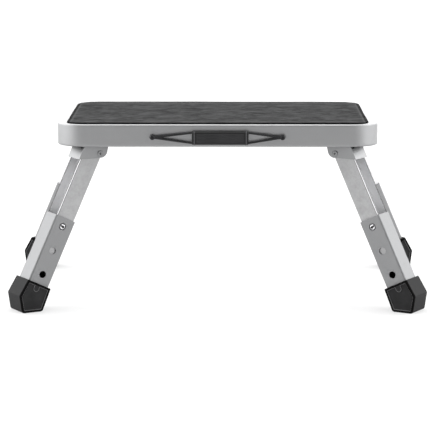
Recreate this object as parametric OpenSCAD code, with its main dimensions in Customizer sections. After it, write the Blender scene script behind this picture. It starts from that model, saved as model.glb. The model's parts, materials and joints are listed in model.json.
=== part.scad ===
// Folding platform step: a pressed steel deck with a rubber tread, four splayed
// telescopic legs that fold in under it, snap buttons for the height, and a pull handle.
// Millimetres. The origin is on the floor under the middle of the deck.
// +X runs along the long side, the handle is at the front (-Y), +Z is up.

/* [Deck] */
// Length of the deck along X
deck_w = 480; // [460:1:520]
// Depth of the deck along Y
deck_d = 320; // [310:1:350]
// Height of the deck's top sheet above the floor, legs fully out
deck_top = 275; // [274:1:280]
// Height of the deck's skirt
skirt_h = 32.5; // [30:0.5:36]
// Radius of the deck's corners in plan
corner_r = 42; // [36:1:50]
// Thickness of the deck's sheet
sheet = 2; // [1.5:0.1:2.5]
// Width of bare rim left round the tread
rim = 14; // [10:1:20]
// Thickness of the rubber tread
tread_t = 2; // [1.5:0.5:4]

/* [Legs] */
// Distance of each leg's pivot from the middle, along X
pivot_x = 185; // [180:1:190]
// Distance of each leg's pivot from the middle, along Y
pivot_y = 124; // [122:1:126]
// How much further out the rear pivots are than the front ones
rear_out = 7; // [0:0.5:8]
// Height of the legs' reference points, a little above their pivot pins
pivot_z = 232; // [231:1:233]
// Plan angle of a leg's fold plane from the X axis
plan_angle = 30; // [28:1:32]
// Lean of a leg from the vertical
lean = 26; // [25:1:27]
// Outside width of the square lower leg
tube = 35; // [34:1:36]
// Wall of the lower leg
tube_wall = 1.5; // [1.2:0.1:1.6]
// Distance from one height hole to the next
hole_pitch = 38.5; // [36:0.5:39]
// Number of height holes
hole_count = 3; // [2:1:3]

/* [Handle] */
// Distance from one handle post to the other
handle_span = 193; // [180:1:220]
// Length of the grip sleeve
grip_l = 84; // [80:1:100]
// Height of the grip sleeve
grip_h = 20; // [18:0.5:22]
// Height of the handle's posts above the floor
handle_z = 257.5; // [256:0.5:259]
// How far the grip sits to the right of the middle
grip_right = 4; // [-6:1:6]
// Diameter of the strap's strands
cord_d = 3.2; // [3:0.1:3.6]

/* [Hidden] */
$fn = 48;
eps = 0.01;
LEGS = ["front_left", "front_right", "rear_left", "rear_right"];
LEG_PARTS = ["bracket", "pivot_pin", "pivot_washers", "upper_leg", "snap_button",
             "button_spring", "lower_leg", "foot"];
DECK_PARTS = ["deck_tray", "tread_mat", "stiffener_front", "stiffener_rear", "deck_rivets",
              "handle_strap", "handle_grip", "handle_posts", "handle_nuts"];

silver = [0.72, 0.73, 0.74];
steel = [0.60, 0.61, 0.62];
chrome = [0.82, 0.83, 0.85];
black = [0.10, 0.10, 0.11];
rubber = [0.17, 0.17, 0.18];

// deck
sheet_under = deck_top - sheet;      // underside of the top sheet
skirt_bottom = deck_top - skirt_h;
top_round = 3;                       // rounding of the deck's top edge
hem_h = 7;                           // the skirt's folded-in bottom edge
hem_t = 1.8;
tread_corner = corner_r - 6;
tread_round = 1;

// leg, in its own frame: origin just above the pivot pin, X from the outer to the inner
// face, -Y out of the leg's drilled face, Z up along the leg
axis_x = -9;                         // the tube's middle, outward of the pivot
tube_bend = 3;                       // outside radius of the tube's corners
tube_top = -111;
tube_bottom = -249;
chan = 31.2;                         // the upper leg's channel, square outside
chan_wall = 2;
chan_bend = 2.5;
chan_top = 22;
chan_bottom = -170;
chan_out = axis_x - chan / 2;        // X of the flange edges
chan_in = axis_x + chan / 2;         // X of the web's outer face
chan_sweep_r = 24.4;                 // flange tops stay inside this radius of the pin
first_hole = -124.5;
hole_r = 5.3;
pin_r = 3.6;
pin_drop = 2;                        // the pin is this far under the leg's origin
run_gap = 0.05;                      // radial clearance of a running fit

// bracket, in the plan frame: X inward, Y to the back, Z up, origin as for the leg
plate_t = 2.5;
plate_in = 16.5;                     // half the gap between the cheeks
plate_out = plate_in + plate_t;
web_out = -27.7;                     // leg-frame X of the web's outer face
bracket_low = -8.5;
bracket_high = sheet_under - pivot_z;
cheek_round = 11;                    // rounded corner round the pivot
cheek_centre = [1.5, 2.5];
cheek_top_in = 22;
relief_r = 4.5;
relief_up = 11;
relief_in = 4;                       // the relief holes' distance in from the cheeks

// rivets through the deck's top sheet
rivet_r = 2.4;
rivet_head_r = 4.2;
bracket_rivet_x = [-1, 13];
bracket_rivet_y = 9;

// stiffeners: two shallow hat channels under the sheet
stiff_y = 60;
stiff_l = 400;
stiff_h = 12;
stiff_base = 56;
stiff_crown = 26;
stiff_t = 1.5;
stiff_flange = 10;
stiff_rivet_x = [-180, -60, 60, 180];

// snap button and its spring
button_r = 5;
button_out = -19.3;                  // Y of the dome's crown
dome_base = -17.4;
collar_r = 6.6;
collar_t = 1.2;
spring_w = 8;
spring_t = 0.8;

// foot
foot_wall = 4;
foot_half = tube / 2 + foot_wall;
foot_top = -216.5;
toe_out = [-32.1, 26.5];             // [leg-frame X, height above the floor]
heel = [-16.8, 0];
toe_in = [12.6, 0];
panel_deep = 1.2;

// handle
handle_y = -deck_d / 2 - 5;          // plane of the strands
grip_t = 9;
grip_drop = 1;                       // the grip hangs this far under the posts
strand_up = grip_h / 2 - 2.4;        // the strands' distance from the grip's middle
cord_r = cord_d / 2;
eye_r = 4.2;
post_r = 2.2;
post_head_r = 4.2;

// height above the floor, in the leg frame at X = x
function leg_z(x, height) = (height - pivot_z + x * sin(lean)) / cos(lean);
// plan-frame X of the leg-frame line X = x, at plan-frame height z
function plan_x(x, z) = (x + z * sin(lean)) / cos(lean);

// corner b between a and c, rounded to radius r
function fillet(a, b, c, r, n = 5) = r == 0 ? [b] :
    let (u = (a - b) / norm(a - b), v = (c - b) / norm(c - b), half = acos(u * v) / 2,
         o = b + (u + v) / norm(u + v) * r / sin(half),
         s = b + u * r / tan(half) - o, e = b + v * r / tan(half) - o,
         from = atan2(s.y, s.x), turn = (atan2(e.y, e.x) - from + 540) % 360 - 180)
    [for (i = [0:n]) o + r * [cos(from + turn * i / n), sin(from + turn * i / n)]];
function rounded(pts, radii) = [for (i = [0:len(pts) - 1])
    each fillet(pts[(i + len(pts) - 1) % len(pts)], pts[i], pts[(i + 1) % len(pts)], radii[i])];
function rect(x0, y0, x1, y1) = [[x0, y0], [x1, y0], [x1, y1], [x0, y1]];

// outline of a strip of width t along a line of points, mitred at its bends
function run_dir(path, i) = let (run = path[i + 1] - path[i]) run / norm(run);
function beside(path, i, d) =
    let (last = len(path) - 1, u = run_dir(path, max(i - 1, 0)), v = run_dir(path, min(i, last - 1)),
         across = [-u.y - v.y, u.x + v.x])
    path[i] + across * 2 * d / (across * across);
function strip(path, t) = let (last = len(path) - 1)
    concat([for (i = [0:last]) beside(path, i, t / 2)],
           [for (i = [0:last]) beside(path, last - i, -t / 2)]);

// ---- places ----------------------------------------------------------------

module at_leg(leg) {
    right = leg == "front_right" || leg == "rear_right";
    rear = leg == "rear_left" || leg == "rear_right";
    scale_x = right ? 1 : 0;
    scale_y = rear ? 1 : 0;
    mirror([scale_x, 0, 0]) mirror([0, scale_y, 0])
        translate([-pivot_x - scale_y * rear_out, -pivot_y, pivot_z])
            rotate([0, 0, plan_angle]) children();
}

module lean_frame() {
    rotate([0, lean, 0]) children();
}

// a 2D shape drawn in X and Z, extruded along Y from y0 to y1
module slab_y(y0, y1) {
    translate([0, y1, 0]) rotate([90, 0, 0]) linear_extrude(y1 - y0) children();
}

module rod_y(r, y0, y1) {
    translate([0, y1, 0]) rotate([90, 0, 0]) cylinder(r = r, h = y1 - y0);
}

// ---- deck ------------------------------------------------------------------

// a block w by d by h on z = 0, with corners r in plan and a top edge rounded by e
module soft_block(w, d, h, r, e) {
    module profile(half) {
        translate([-half, 0]) square([2 * half, h - e]);
        translate([-half + e, h - e - eps]) square([2 * (half - e), e + eps]);
        for (s = [-1, 1]) translate([s * (half - e), h - e]) circle(e);
    }
    module half_profile(reach) {
        square([reach, h - e]);
        square([reach - e, h]);
        translate([reach - e, h - e]) circle(e);
    }
    translate([-w / 2 + r, 0, 0]) rotate([90, 0, 90]) linear_extrude(w - 2 * r) profile(d / 2);
    translate([0, d / 2 - r, 0]) rotate([90, 0, 0]) linear_extrude(d - 2 * r) profile(w / 2);
    for (sx = [-1, 1]) for (sy = [-1, 1])
        translate([sx * (w / 2 - r), sy * (d / 2 - r), 0]) rotate_extrude() half_profile(r);
}

module plain_block(w, d, h, r) {
    linear_extrude(h) polygon(rounded(rect(-w / 2, -d / 2, w / 2, d / 2), [r, r, r, r]));
}

module rivet_places() {
    for (leg = LEGS) at_leg(leg) for (x = bracket_rivet_x) for (s = [-1, 1])
        translate([x, s * bracket_rivet_y, bracket_high]) children();
    for (side = [-1, 1]) for (x = stiff_rivet_x) for (s = [-1, 1])
        translate([x, side * stiff_y + s * (stiff_base - stiff_flange) / 2, sheet_under])
            children();
}

module countersink(extra = 0) {
    cylinder(r1 = rivet_r, r2 = rivet_head_r, h = sheet);
    if (extra > 0) translate([0, 0, sheet - eps]) cylinder(r = rivet_head_r, h = extra);
}

module deck_tray() {
    color(silver) difference() {
        translate([0, 0, skirt_bottom]) soft_block(deck_w, deck_d, skirt_h, corner_r, top_round);
        translate([0, 0, skirt_bottom + hem_h])
            plain_block(deck_w - 2 * sheet, deck_d - 2 * sheet, skirt_h - hem_h - sheet,
                        corner_r - sheet);
        translate([0, 0, skirt_bottom - 1])
            plain_block(deck_w - 2 * (sheet + hem_t), deck_d - 2 * (sheet + hem_t), hem_h + 2,
                        corner_r - sheet - hem_t);
        rivet_places() countersink(1);
        for (s = [-1, 1]) translate([s * handle_span / 2, 0, handle_z])
            rod_y(post_r, -deck_d / 2 - 1, -deck_d / 2 + 5);
    }
}

module tread_mat() {
    color(rubber) translate([0, 0, deck_top])
        soft_block(deck_w - 2 * rim, deck_d - 2 * rim, tread_t, tread_corner, tread_round);
}

module stiffener(side) {
    crown = stiff_crown / 2;
    foot_x = stiff_base / 2 - stiff_flange;
    outer = [[-stiff_base / 2, 0], [-foot_x, 0], [-crown, -stiff_h], [crown, -stiff_h],
             [foot_x, 0], [stiff_base / 2, 0]];
    inner = [[stiff_base / 2, -stiff_t], [foot_x + stiff_t, -stiff_t],
             [crown + stiff_t, -stiff_h - stiff_t], [-crown - stiff_t, -stiff_h - stiff_t],
             [-foot_x - stiff_t, -stiff_t], [-stiff_base / 2, -stiff_t]];
    color(steel) difference() {
        translate([-stiff_l / 2, side * stiff_y, sheet_under]) rotate([90, 0, 90])
            linear_extrude(stiff_l) polygon(concat(outer, inner));
        for (x = stiff_rivet_x) for (s = [-1, 1])
            translate([x, side * stiff_y + s * (stiff_base - stiff_flange) / 2, sheet_under - 5])
                cylinder(r = rivet_r, h = 10);
    }
}

module deck_rivets() {
    color(steel) rivet_places() {
        countersink();
        translate([0, 0, -plate_t - 0.5]) cylinder(r = rivet_r, h = plate_t + 0.5 + eps);
        translate([0, 0, -plate_t - 1.5]) cylinder(r1 = 3, r2 = 3.8, h = 1.5);
    }
}

// ---- leg brackets and pivots ------------------------------------------------

module cheek_outline() {
    low_out = plan_x(web_out, bracket_low);
    high_out = plan_x(web_out, bracket_high);
    arc = [for (a = [-90:10:-10]) cheek_centre + cheek_round * [cos(a), sin(a)]];
    polygon(concat([[low_out, bracket_low]], arc,
                   [[cheek_top_in, bracket_high], [high_out, bracket_high]]));
}

module bracket() {
    web_in = web_out + plate_t;
    color(silver) difference() {
        union() {
            slab_y(-plate_out, -plate_in) cheek_outline();
            slab_y(plate_in, plate_out) cheek_outline();
            slab_y(-plate_out, plate_out) polygon([
                [plan_x(web_out, bracket_low), bracket_low],
                [plan_x(web_in, bracket_low), bracket_low],
                [plan_x(web_in, bracket_high), bracket_high],
                [plan_x(web_out, bracket_high), bracket_high]]);
            slab_y(-plate_out, plate_out) polygon(rect(plan_x(web_out, bracket_high),
                bracket_high - plate_t, cheek_top_in - 1, bracket_high));
        }
        translate([0, 0, -pin_drop]) rod_y(pin_r, -30, 30);
        for (s = [-1, 1])
            translate([plan_x(web_out, relief_up), s * (plate_in - relief_in), relief_up])
                rotate([0, 90, 0]) cylinder(r = relief_r, h = 12, center = true);
        for (x = bracket_rivet_x) for (s = [-1, 1])
            translate([x, s * bracket_rivet_y, bracket_high - 6]) cylinder(r = rivet_r, h = 10);
    }
}

module pivot_pin() {
    head_r = 5;
    head_t = 0.8;
    dimple_r = 1.3;
    color(silver) translate([0, 0, -pin_drop]) difference() {
        union() {
            rod_y(pin_r, -plate_out, plate_out);
            rod_y(head_r, plate_out, plate_out + head_t);
            rod_y(head_r, -plate_out - head_t, -plate_out);
        }
        for (s = [-1, 1]) translate([0, s * (plate_out + head_t), 0])
            rod_y(dimple_r, -head_t, head_t);
    }
}

module pivot_washers() {
    washer_t = 0.8;
    color(black) for (s = [-1, 1]) translate([0, s * (plate_in - washer_t / 2), -pin_drop])
        difference() {
            rod_y(6.3, -washer_t / 2, washer_t / 2);
            rod_y(pin_r + run_gap, -2, 2);
        }
}

// ---- legs --------------------------------------------------------------------

module upper_leg() {
    inner = chan_bend - chan_wall;
    half = chan / 2;
    flange_edge = 0.8;
    pin = [pin_drop * sin(lean), -pin_drop * cos(lean)];
    color(silver) intersection() {
        difference() {
            translate([0, 0, chan_bottom]) linear_extrude(chan_top - chan_bottom) polygon(concat(
                rounded(rect(chan_out, -half, chan_in, half),
                        [flange_edge, chan_bend, chan_bend, flange_edge]),
                rounded([[chan_out, half - chan_wall], [chan_in - chan_wall, half - chan_wall],
                         [chan_in - chan_wall, -half + chan_wall], [chan_out, -half + chan_wall]],
                        [0, inner, inner, 0])));
            translate([pin.x, 0, pin.y]) rod_y(pin_r + run_gap, -30, 30);
            translate([axis_x, 0, first_hole]) rod_y(button_r + 2 * run_gap, -half - 1, 0);
        }
        slab_y(-20, 20) union() {
            translate(pin) circle(chan_sweep_r);
            translate([-40, chan_bottom - 1]) square([80, pin.y - chan_bottom + 1]);
            translate(pin) square([40, 40]);
        }
    }
}

module lower_leg() {
    half = tube / 2;
    bore = half - tube_wall;
    color(silver) difference() {
        translate([axis_x, 0, tube_bottom]) linear_extrude(tube_top - tube_bottom) difference() {
            polygon(rounded(rect(-half, -half, half, half), [for (i = [0:3]) tube_bend]));
            polygon(rounded(rect(-bore, -bore, bore, bore),
                            [for (i = [0:3]) tube_bend - tube_wall]));
        }
        for (i = [0:hole_count - 1]) translate([axis_x, 0, first_hole - i * hole_pitch])
            rod_y(hole_r, -half - 1, -half + 5);
    }
}

module snap_button() {
    rise = dome_base - button_out;
    dome_r = (button_r * button_r + rise * rise) / (2 * rise);
    collar_y = -chan / 2 + chan_wall;
    color(chrome) translate([axis_x, 0, first_hole]) {
        rod_y(button_r, dome_base, collar_y + 0.5);
        rod_y(collar_r, collar_y + 0.2, collar_y + 0.2 + collar_t);
        intersection() {
            translate([0, button_out + dome_r, 0]) sphere(dome_r, $fn = 96);
            rod_y(button_r, button_out - 1, dome_base + eps);
        }
    }
}

// a bent leaf: the button sits on the upper end of one arm, the other arm bears on the
// channel's far flange
module button_spring() {
    near = -chan / 2 + chan_wall + 0.2 + collar_t + 0.1 + spring_t / 2;
    far = chan / 2 - chan_wall - spring_t / 2;
    path = [[near, first_hole + 7], [near, first_hole - 9], [0.5, -163], [far, first_hole + 4],
            [far - 2.5, first_hole + 9]];
    color(steel) translate([axis_x - spring_w / 2, 0, 0]) rotate([90, 0, 90])
        linear_extrude(spring_w) polygon(strip(path, spring_t));
}

module foot_outline(inset = 0) {
    side = tube / 2 + 2.5;
    polygon(rounded([
        [axis_x - side + inset, foot_top],
        [toe_out.x + 1.2 * inset, leg_z(toe_out.x, toe_out.y)],
        [heel.x + 0.7 * inset, leg_z(heel.x + 0.7 * inset, inset)],
        [toe_in.x - 1.2 * inset, leg_z(toe_in.x - 1.2 * inset, inset)],
        [axis_x + side - inset, foot_top]],
        [0, 4, 2.5, 4, 0]));
}

module foot() {
    half = tube / 2;
    nub_r = 4.3;
    nub_z = foot_top - 6.5;
    color(black) {
        difference() {
            slab_y(-foot_half, foot_half) foot_outline();
            translate([axis_x, 0, tube_bottom]) linear_extrude(foot_top - tube_bottom + 1)
                polygon(rounded(rect(-half, -half, half, half), [for (i = [0:3]) tube_bend]));
            for (s = [-1, 1]) translate([0, s * foot_half, 0])
                slab_y(-panel_deep, panel_deep) intersection() {
                    foot_outline(3);
                    translate([-50, -300]) square([100, 300 + foot_top - 2.5]);
                }
        }
        for (s = [-1, 1]) translate([axis_x - 2.5, s * (foot_half - panel_deep / 2), nub_z]) {
            rod_y(nub_r, -panel_deep / 2 - eps, panel_deep / 2);
            slab_y(-panel_deep / 2 - eps, panel_deep / 2)
                translate([-nub_r, 0]) square([2 * nub_r, foot_top - nub_z - 2]);
        }
    }
}

// ---- handle ------------------------------------------------------------------

// one moulded strap: an eye at each end, two strands from each eye to the grip, and the
// strands' straight middles inside the grip
module handle_strap() {
    post_x = handle_span / 2;
    bends = [for (s = [-1, 1]) grip_right + s * (grip_l / 2 + 0.6)];
    color(black) translate([0, handle_y, handle_z]) difference() {
        union() {
            for (s = [-1, 1]) {
                strand_z = s * strand_up - grip_drop;
                slab_y(-cord_r, cord_r) polygon(strip([[-post_x, 0], [bends[0], strand_z],
                                                       [bends[1], strand_z], [post_x, 0]], cord_d));
            }
            for (s = [-1, 1]) translate([s * post_x, 0, 0]) rod_y(eye_r, -cord_r, cord_r);
        }
        for (s = [-1, 1]) translate([s * post_x, 0, 0]) rod_y(post_r, -cord_r - 1, cord_r + 1);
    }
}

module handle_grip() {
    half = grip_l / 2;
    channel = cord_d + 0.6;
    module section(grow, l) {
        rotate([90, 0, 90]) linear_extrude(l) polygon(rounded(
            rect(-grip_t / 2 - grow, -grip_h / 2 - grow, grip_t / 2, grip_h / 2 + grow),
            [4, 3, 3, 4]));
    }
    color(black) translate([grip_right, handle_y, handle_z - grip_drop]) difference() {
        union() {
            translate([-half, 0, 0]) section(0, grip_l);
            for (s = [-1, 1]) translate([s * (half - 4) - 1, 0, 0]) section(0.5, 2);
        }
        for (s = [-1, 1]) translate([0, 0, s * strand_up])
            cube([grip_l + 2, channel, channel], center = true);
    }
}

// a button-head screw through the eye, with a collar that holds the eye off the skirt
module handle_posts() {
    eye = cord_r + 0.05;
    head_t = 2.2;
    color(black) for (s = [-1, 1]) translate([s * handle_span / 2, 0, handle_z]) difference() {
        union() {
            rod_y(post_r, handle_y - eye, -deck_d / 2 + sheet + 5);
            rod_y(post_head_r, handle_y - eye - head_t / 2, handle_y - eye);
            translate([0, handle_y - eye - head_t / 2 + eps, 0]) rotate([90, 0, 0])
                cylinder(r1 = post_head_r, r2 = post_head_r - 1.2, h = head_t / 2);
            rod_y(post_head_r, handle_y + eye, -deck_d / 2);
        }
        translate([0, handle_y - eye - head_t / 2, 0]) rotate([90, 0, 0])
            cylinder(r = 1.4, h = head_t, $fn = 6);
    }
}

module handle_nuts() {
    nut_in = -deck_d / 2 + sheet;
    color(steel) for (s = [-1, 1]) translate([s * handle_span / 2, 0, handle_z]) difference() {
        translate([0, nut_in + 4, 0]) rotate([90, 0, 0]) cylinder(r = 4.6, h = 4, $fn = 6);
        rod_y(post_r, nut_in - 1, nut_in + 6);
    }
}

// ---- assembly ----------------------------------------------------------------

deck_tray();
tread_mat();
stiffener(-1);  // stiffener_front
stiffener(1);  // stiffener_rear
deck_rivets();
handle_strap();
handle_grip();
handle_posts();
handle_nuts();
for (leg = LEGS) {
    at_leg(leg) bracket();
    at_leg(leg) pivot_pin();
    at_leg(leg) pivot_washers();
    at_leg(leg) lean_frame() upper_leg();
    at_leg(leg) lean_frame() snap_button();
    at_leg(leg) lean_frame() button_spring();
    at_leg(leg) lean_frame() lower_leg();
    at_leg(leg) lean_frame() foot();
}
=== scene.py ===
"""Folding platform step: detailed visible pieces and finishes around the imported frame."""
import json
import math

import bmesh
import bpy
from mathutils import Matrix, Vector, noise


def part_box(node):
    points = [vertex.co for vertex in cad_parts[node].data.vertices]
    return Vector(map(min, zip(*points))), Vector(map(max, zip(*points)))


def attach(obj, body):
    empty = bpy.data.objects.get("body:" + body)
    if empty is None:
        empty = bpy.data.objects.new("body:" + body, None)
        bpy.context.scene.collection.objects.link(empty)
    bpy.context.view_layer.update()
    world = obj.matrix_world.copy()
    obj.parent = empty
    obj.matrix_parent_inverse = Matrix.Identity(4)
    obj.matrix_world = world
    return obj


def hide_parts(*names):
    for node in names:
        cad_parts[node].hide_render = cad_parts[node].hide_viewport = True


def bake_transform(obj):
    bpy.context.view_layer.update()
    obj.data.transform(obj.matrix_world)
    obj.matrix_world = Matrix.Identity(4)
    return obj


bl_info = {
    "name": "Folding Platform Step",
    "version": (1, 0, 0),
    "blender": (4, 5, 0),
    "location": "3D View > Sidebar > Platform Step",
    "description": "Builds the visible pieces and finishes of a folding platform step",
    "category": "Object",
}

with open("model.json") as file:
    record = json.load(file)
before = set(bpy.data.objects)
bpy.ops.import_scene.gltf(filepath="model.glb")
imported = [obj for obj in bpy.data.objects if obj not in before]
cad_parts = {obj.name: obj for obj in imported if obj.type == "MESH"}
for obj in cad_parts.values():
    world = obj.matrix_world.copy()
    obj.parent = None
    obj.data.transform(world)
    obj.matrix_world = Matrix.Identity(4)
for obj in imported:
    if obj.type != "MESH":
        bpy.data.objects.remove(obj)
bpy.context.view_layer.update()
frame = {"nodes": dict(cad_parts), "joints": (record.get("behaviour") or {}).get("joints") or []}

MM = 0.001
LEGS = ("front_left", "front_right", "rear_left", "rear_right")
SIDES = (-1, 1)
DECK_LOW, DECK_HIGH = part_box("deck_tray")
MAT_LOW, MAT_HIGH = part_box("tread_mat")
GRIP_LOW, GRIP_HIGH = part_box("handle_grip")
POSTS_LOW, POSTS_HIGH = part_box("handle_posts")
GRIP = (GRIP_LOW + GRIP_HIGH) / 2
POSTS = (POSTS_LOW + POSTS_HIGH) / 2
PIN_DROP = 2 * MM                   # a leg's pivot pin is this far under its own origin
BORDER = 5 * MM                     # plain border round the tread's embossing
AXIS_X = -9 * MM                    # the square tube's middle, in a leg's own space
TUBE_HALF = 17.5 * MM
TUBE_END = -249 * MM                # the tube's lower end, in a leg's own space
EYE_X = POSTS_HIGH.x - 4.2 * MM     # how far out the strap's eyes and screws are


# ---- places ------------------------------------------------------------------

def joint(name):
    """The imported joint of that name."""
    return next(j for j in frame["joints"] if j["name"] == name)


class LegSpace:
    """A leg's own space: origin just above its pivot pin, x from its outer to its inner
    face, y into the leg from its drilled face, z up the leg. Lengths are in metres."""

    def __init__(self, leg):
        self.pin = Vector(joint(f"leg_fold_{leg}")["pos_m"])
        self.pivot = self.pin + Vector((0, 0, PIN_DROP))
        self.z = Vector(joint(f"leg_height_{leg}")["axis"]).normalized()
        self.y = Vector(joint(f"button_press_{leg}")["axis"]).normalized()
        self.x = self.y.cross(self.z)
        if self.x.dot(Vector((self.z.x, self.z.y, 0))) < 0:
            self.x = -self.x

    def __call__(self, x, y, z):
        return self.pivot + self.x * x + self.y * y + self.z * z

    def up_to(self, x, height):
        """z in this space of the point at that x and that height above the floor."""
        return (height - self.pivot.z - x * self.x.z) / self.z.z


# ---- meshes ------------------------------------------------------------------

def finish_piece(mesh, name, material, body, smooth_angle=40, more_materials=()):
    """Links a bmesh as a piece that rides on a body."""
    bmesh.ops.recalc_face_normals(mesh, faces=mesh.faces)
    data = bpy.data.meshes.new(name)
    mesh.to_mesh(data)
    mesh.free()
    for finish in (material, *more_materials):
        data.materials.append(finish)
    data.shade_smooth()
    data.set_sharp_from_angle(angle=math.radians(smooth_angle))
    piece = bpy.data.objects.new(name, data)
    bpy.context.scene.collection.objects.link(piece)
    if body is not None:
        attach(piece, body)
    return piece


def add_loops(mesh, loops, shades=None):
    """Joins closed loops of equal count with quads, and caps the ends. The shades are the
    material indices of the bands between the loops."""
    rings = [[mesh.verts.new(p) for p in loop] for loop in loops]
    for k, (low, high) in enumerate(zip(rings, rings[1:])):
        for i in range(len(low)):
            j = (i + 1) % len(low)
            face = mesh.faces.new((low[i], low[j], high[j], high[i]))
            face.material_index = shades[k] if shades else 0
    mesh.faces.new(rings[0][::-1])
    mesh.faces.new(rings[-1])


def arc(centre, radius, start, end, steps):
    """Points of an arc in two dimensions, angles in degrees."""
    turns = [math.radians(start + (end - start) * i / steps) for i in range(steps + 1)]
    return [(centre[0] + radius * math.cos(t), centre[1] + radius * math.sin(t)) for t in turns]


def rounded_rectangle(half_w, half_d, radius, steps=10):
    """Points of a rectangle with round corners, anticlockwise from the right side."""
    x, y = half_w - radius, half_d - radius
    return (arc((x, y), radius, 0, 90, steps) + arc((-x, y), radius, 90, 180, steps)
            + arc((-x, -y), radius, 180, 270, steps) + arc((x, -y), radius, 270, 360, steps))


def lathe(mesh, profile, origin, axis, side, steps=40, shades=None):
    """A solid of revolution. The profile's points are (radius, distance along the axis)."""
    across = axis.cross(side)
    loops = []
    for radius, along in profile:
        turns = [2 * math.pi * i / steps for i in range(steps)]
        loops.append([origin + axis * along + (side * math.cos(t) + across * math.sin(t)) * radius
                      for t in turns])
    add_loops(mesh, loops, shades)


def apply_modifiers(piece):
    """Puts the evaluated mesh in the piece's place and clears its modifiers."""
    graph = bpy.context.evaluated_depsgraph_get()
    data = bpy.data.meshes.new_from_object(piece.evaluated_get(graph))
    piece.modifiers.clear()
    piece.data = data


def dress(nodes, material):
    """Gives CAD nodes a material."""
    for name in nodes:
        for slot in frame["nodes"][name].material_slots:
            slot.material = material


# ---- finishes ----------------------------------------------------------------

class Finish:
    """A material under construction, with its nodes measured in the frame's metres."""

    def __init__(self, name):
        self.material = bpy.data.materials.new(name)
        self.material.use_nodes = True
        self.nodes = self.material.node_tree.nodes
        self.links = self.material.node_tree.links
        self.shader = self.nodes["Principled BSDF"]
        self.place = self.nodes.new("ShaderNodeTexCoord").outputs["Object"]

    def set(self, **values):
        """Sets single values of the shader."""
        for name, value in values.items():
            self.shader.inputs[name.replace("_", " ")].default_value = value

    def along(self, direction, origin):
        """The distance from an origin along any direction."""
        node = self.nodes.new("ShaderNodeVectorMath")
        node.operation = "DOT_PRODUCT"
        self.links.new(self.place, node.inputs[0])
        node.inputs[1].default_value = direction
        return self.maths("SUBTRACT", node.outputs["Value"], direction.dot(origin))

    def reach(self, axis, middle):
        """The distance from a middle along the X, Y or Z axis."""
        node = self.nodes.new("ShaderNodeSeparateXYZ")
        self.links.new(self.place, node.inputs[0])
        return self.maths("ABSOLUTE", self.maths("SUBTRACT", node.outputs[axis], middle), 0)

    def band(self, value, low, high, soft):
        """One between two values, and zero outside them."""
        rise = self.remap(value, low - soft, low, 0, 1)
        fall = self.remap(value, high, high + soft, 1, 0)
        return self.maths("MULTIPLY", rise, fall)

    def stretched(self, scale):
        """Coordinates scaled by the given factors."""
        node = self.nodes.new("ShaderNodeMapping")
        node.inputs["Scale"].default_value = scale
        self.links.new(self.place, node.inputs["Vector"])
        return node.outputs["Vector"]

    def noise(self, scale, detail=3, roughness=0.55, distortion=0, vector=None):
        """Soft noise, along the given coordinates or the place itself."""
        node = self.nodes.new("ShaderNodeTexNoise")
        node.inputs["Scale"].default_value = scale
        node.inputs["Detail"].default_value = detail
        node.inputs["Roughness"].default_value = roughness
        node.inputs["Distortion"].default_value = distortion
        self.links.new(vector or self.place, node.inputs["Vector"])
        return node.outputs["Fac"]

    def cells(self, scale):
        """Small cells, each with a random colour."""
        node = self.nodes.new("ShaderNodeTexVoronoi")
        node.inputs["Scale"].default_value = scale
        self.links.new(self.place, node.inputs["Vector"])
        return node.outputs["Color"]

    def remap(self, value, low, high, to_low, to_high):
        """A value's range moved to another range, and held at its ends."""
        node = self.nodes.new("ShaderNodeMapRange")
        for name, number in (("From Min", low), ("From Max", high),
                             ("To Min", to_low), ("To Max", to_high)):
            node.inputs[name].default_value = number
        self.links.new(value, node.inputs["Value"])
        return node.outputs["Result"]

    def maths(self, operation, first, second):
        """A sum on two values, each a number or a socket."""
        node = self.nodes.new("ShaderNodeMath")
        node.operation = operation
        for socket, value in zip(node.inputs, (first, second)):
            if isinstance(value, (int, float)):
                socket.default_value = value
            else:
                self.links.new(value, socket)
        return node.outputs["Value"]

    def blend(self, factor, first, second):
        """A colour between two, each a colour or a socket."""
        node = self.nodes.new("ShaderNodeMix")
        node.data_type = "RGBA"
        self.links.new(factor, node.inputs["Factor"])
        for socket, value in ((node.inputs[6], first), (node.inputs[7], second)):
            if isinstance(value, bpy.types.NodeSocket):
                self.links.new(value, socket)
            else:
                socket.default_value = (*value[:3], 1)
        return node.outputs[2]

    def bump(self, height, strength, distance, under=None):
        """A normal bent by a height, on top of another bump if one is given."""
        node = self.nodes.new("ShaderNodeBump")
        node.inputs["Strength"].default_value = strength
        node.inputs["Distance"].default_value = distance
        self.links.new(height, node.inputs["Height"])
        if under is not None:
            self.links.new(under, node.inputs["Normal"])
        return node.outputs["Normal"]

    def wire(self, **sockets):
        """Links sockets to the shader's inputs, and gives the finished material."""
        for name, socket in sockets.items():
            self.links.new(socket, self.shader.inputs[name.replace("_", " ")])
        return self.material


def tinted(colour, factor):
    """A colour made darker or lighter by a factor."""
    return tuple(min(1.0, c * factor) for c in colour[:3])


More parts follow.
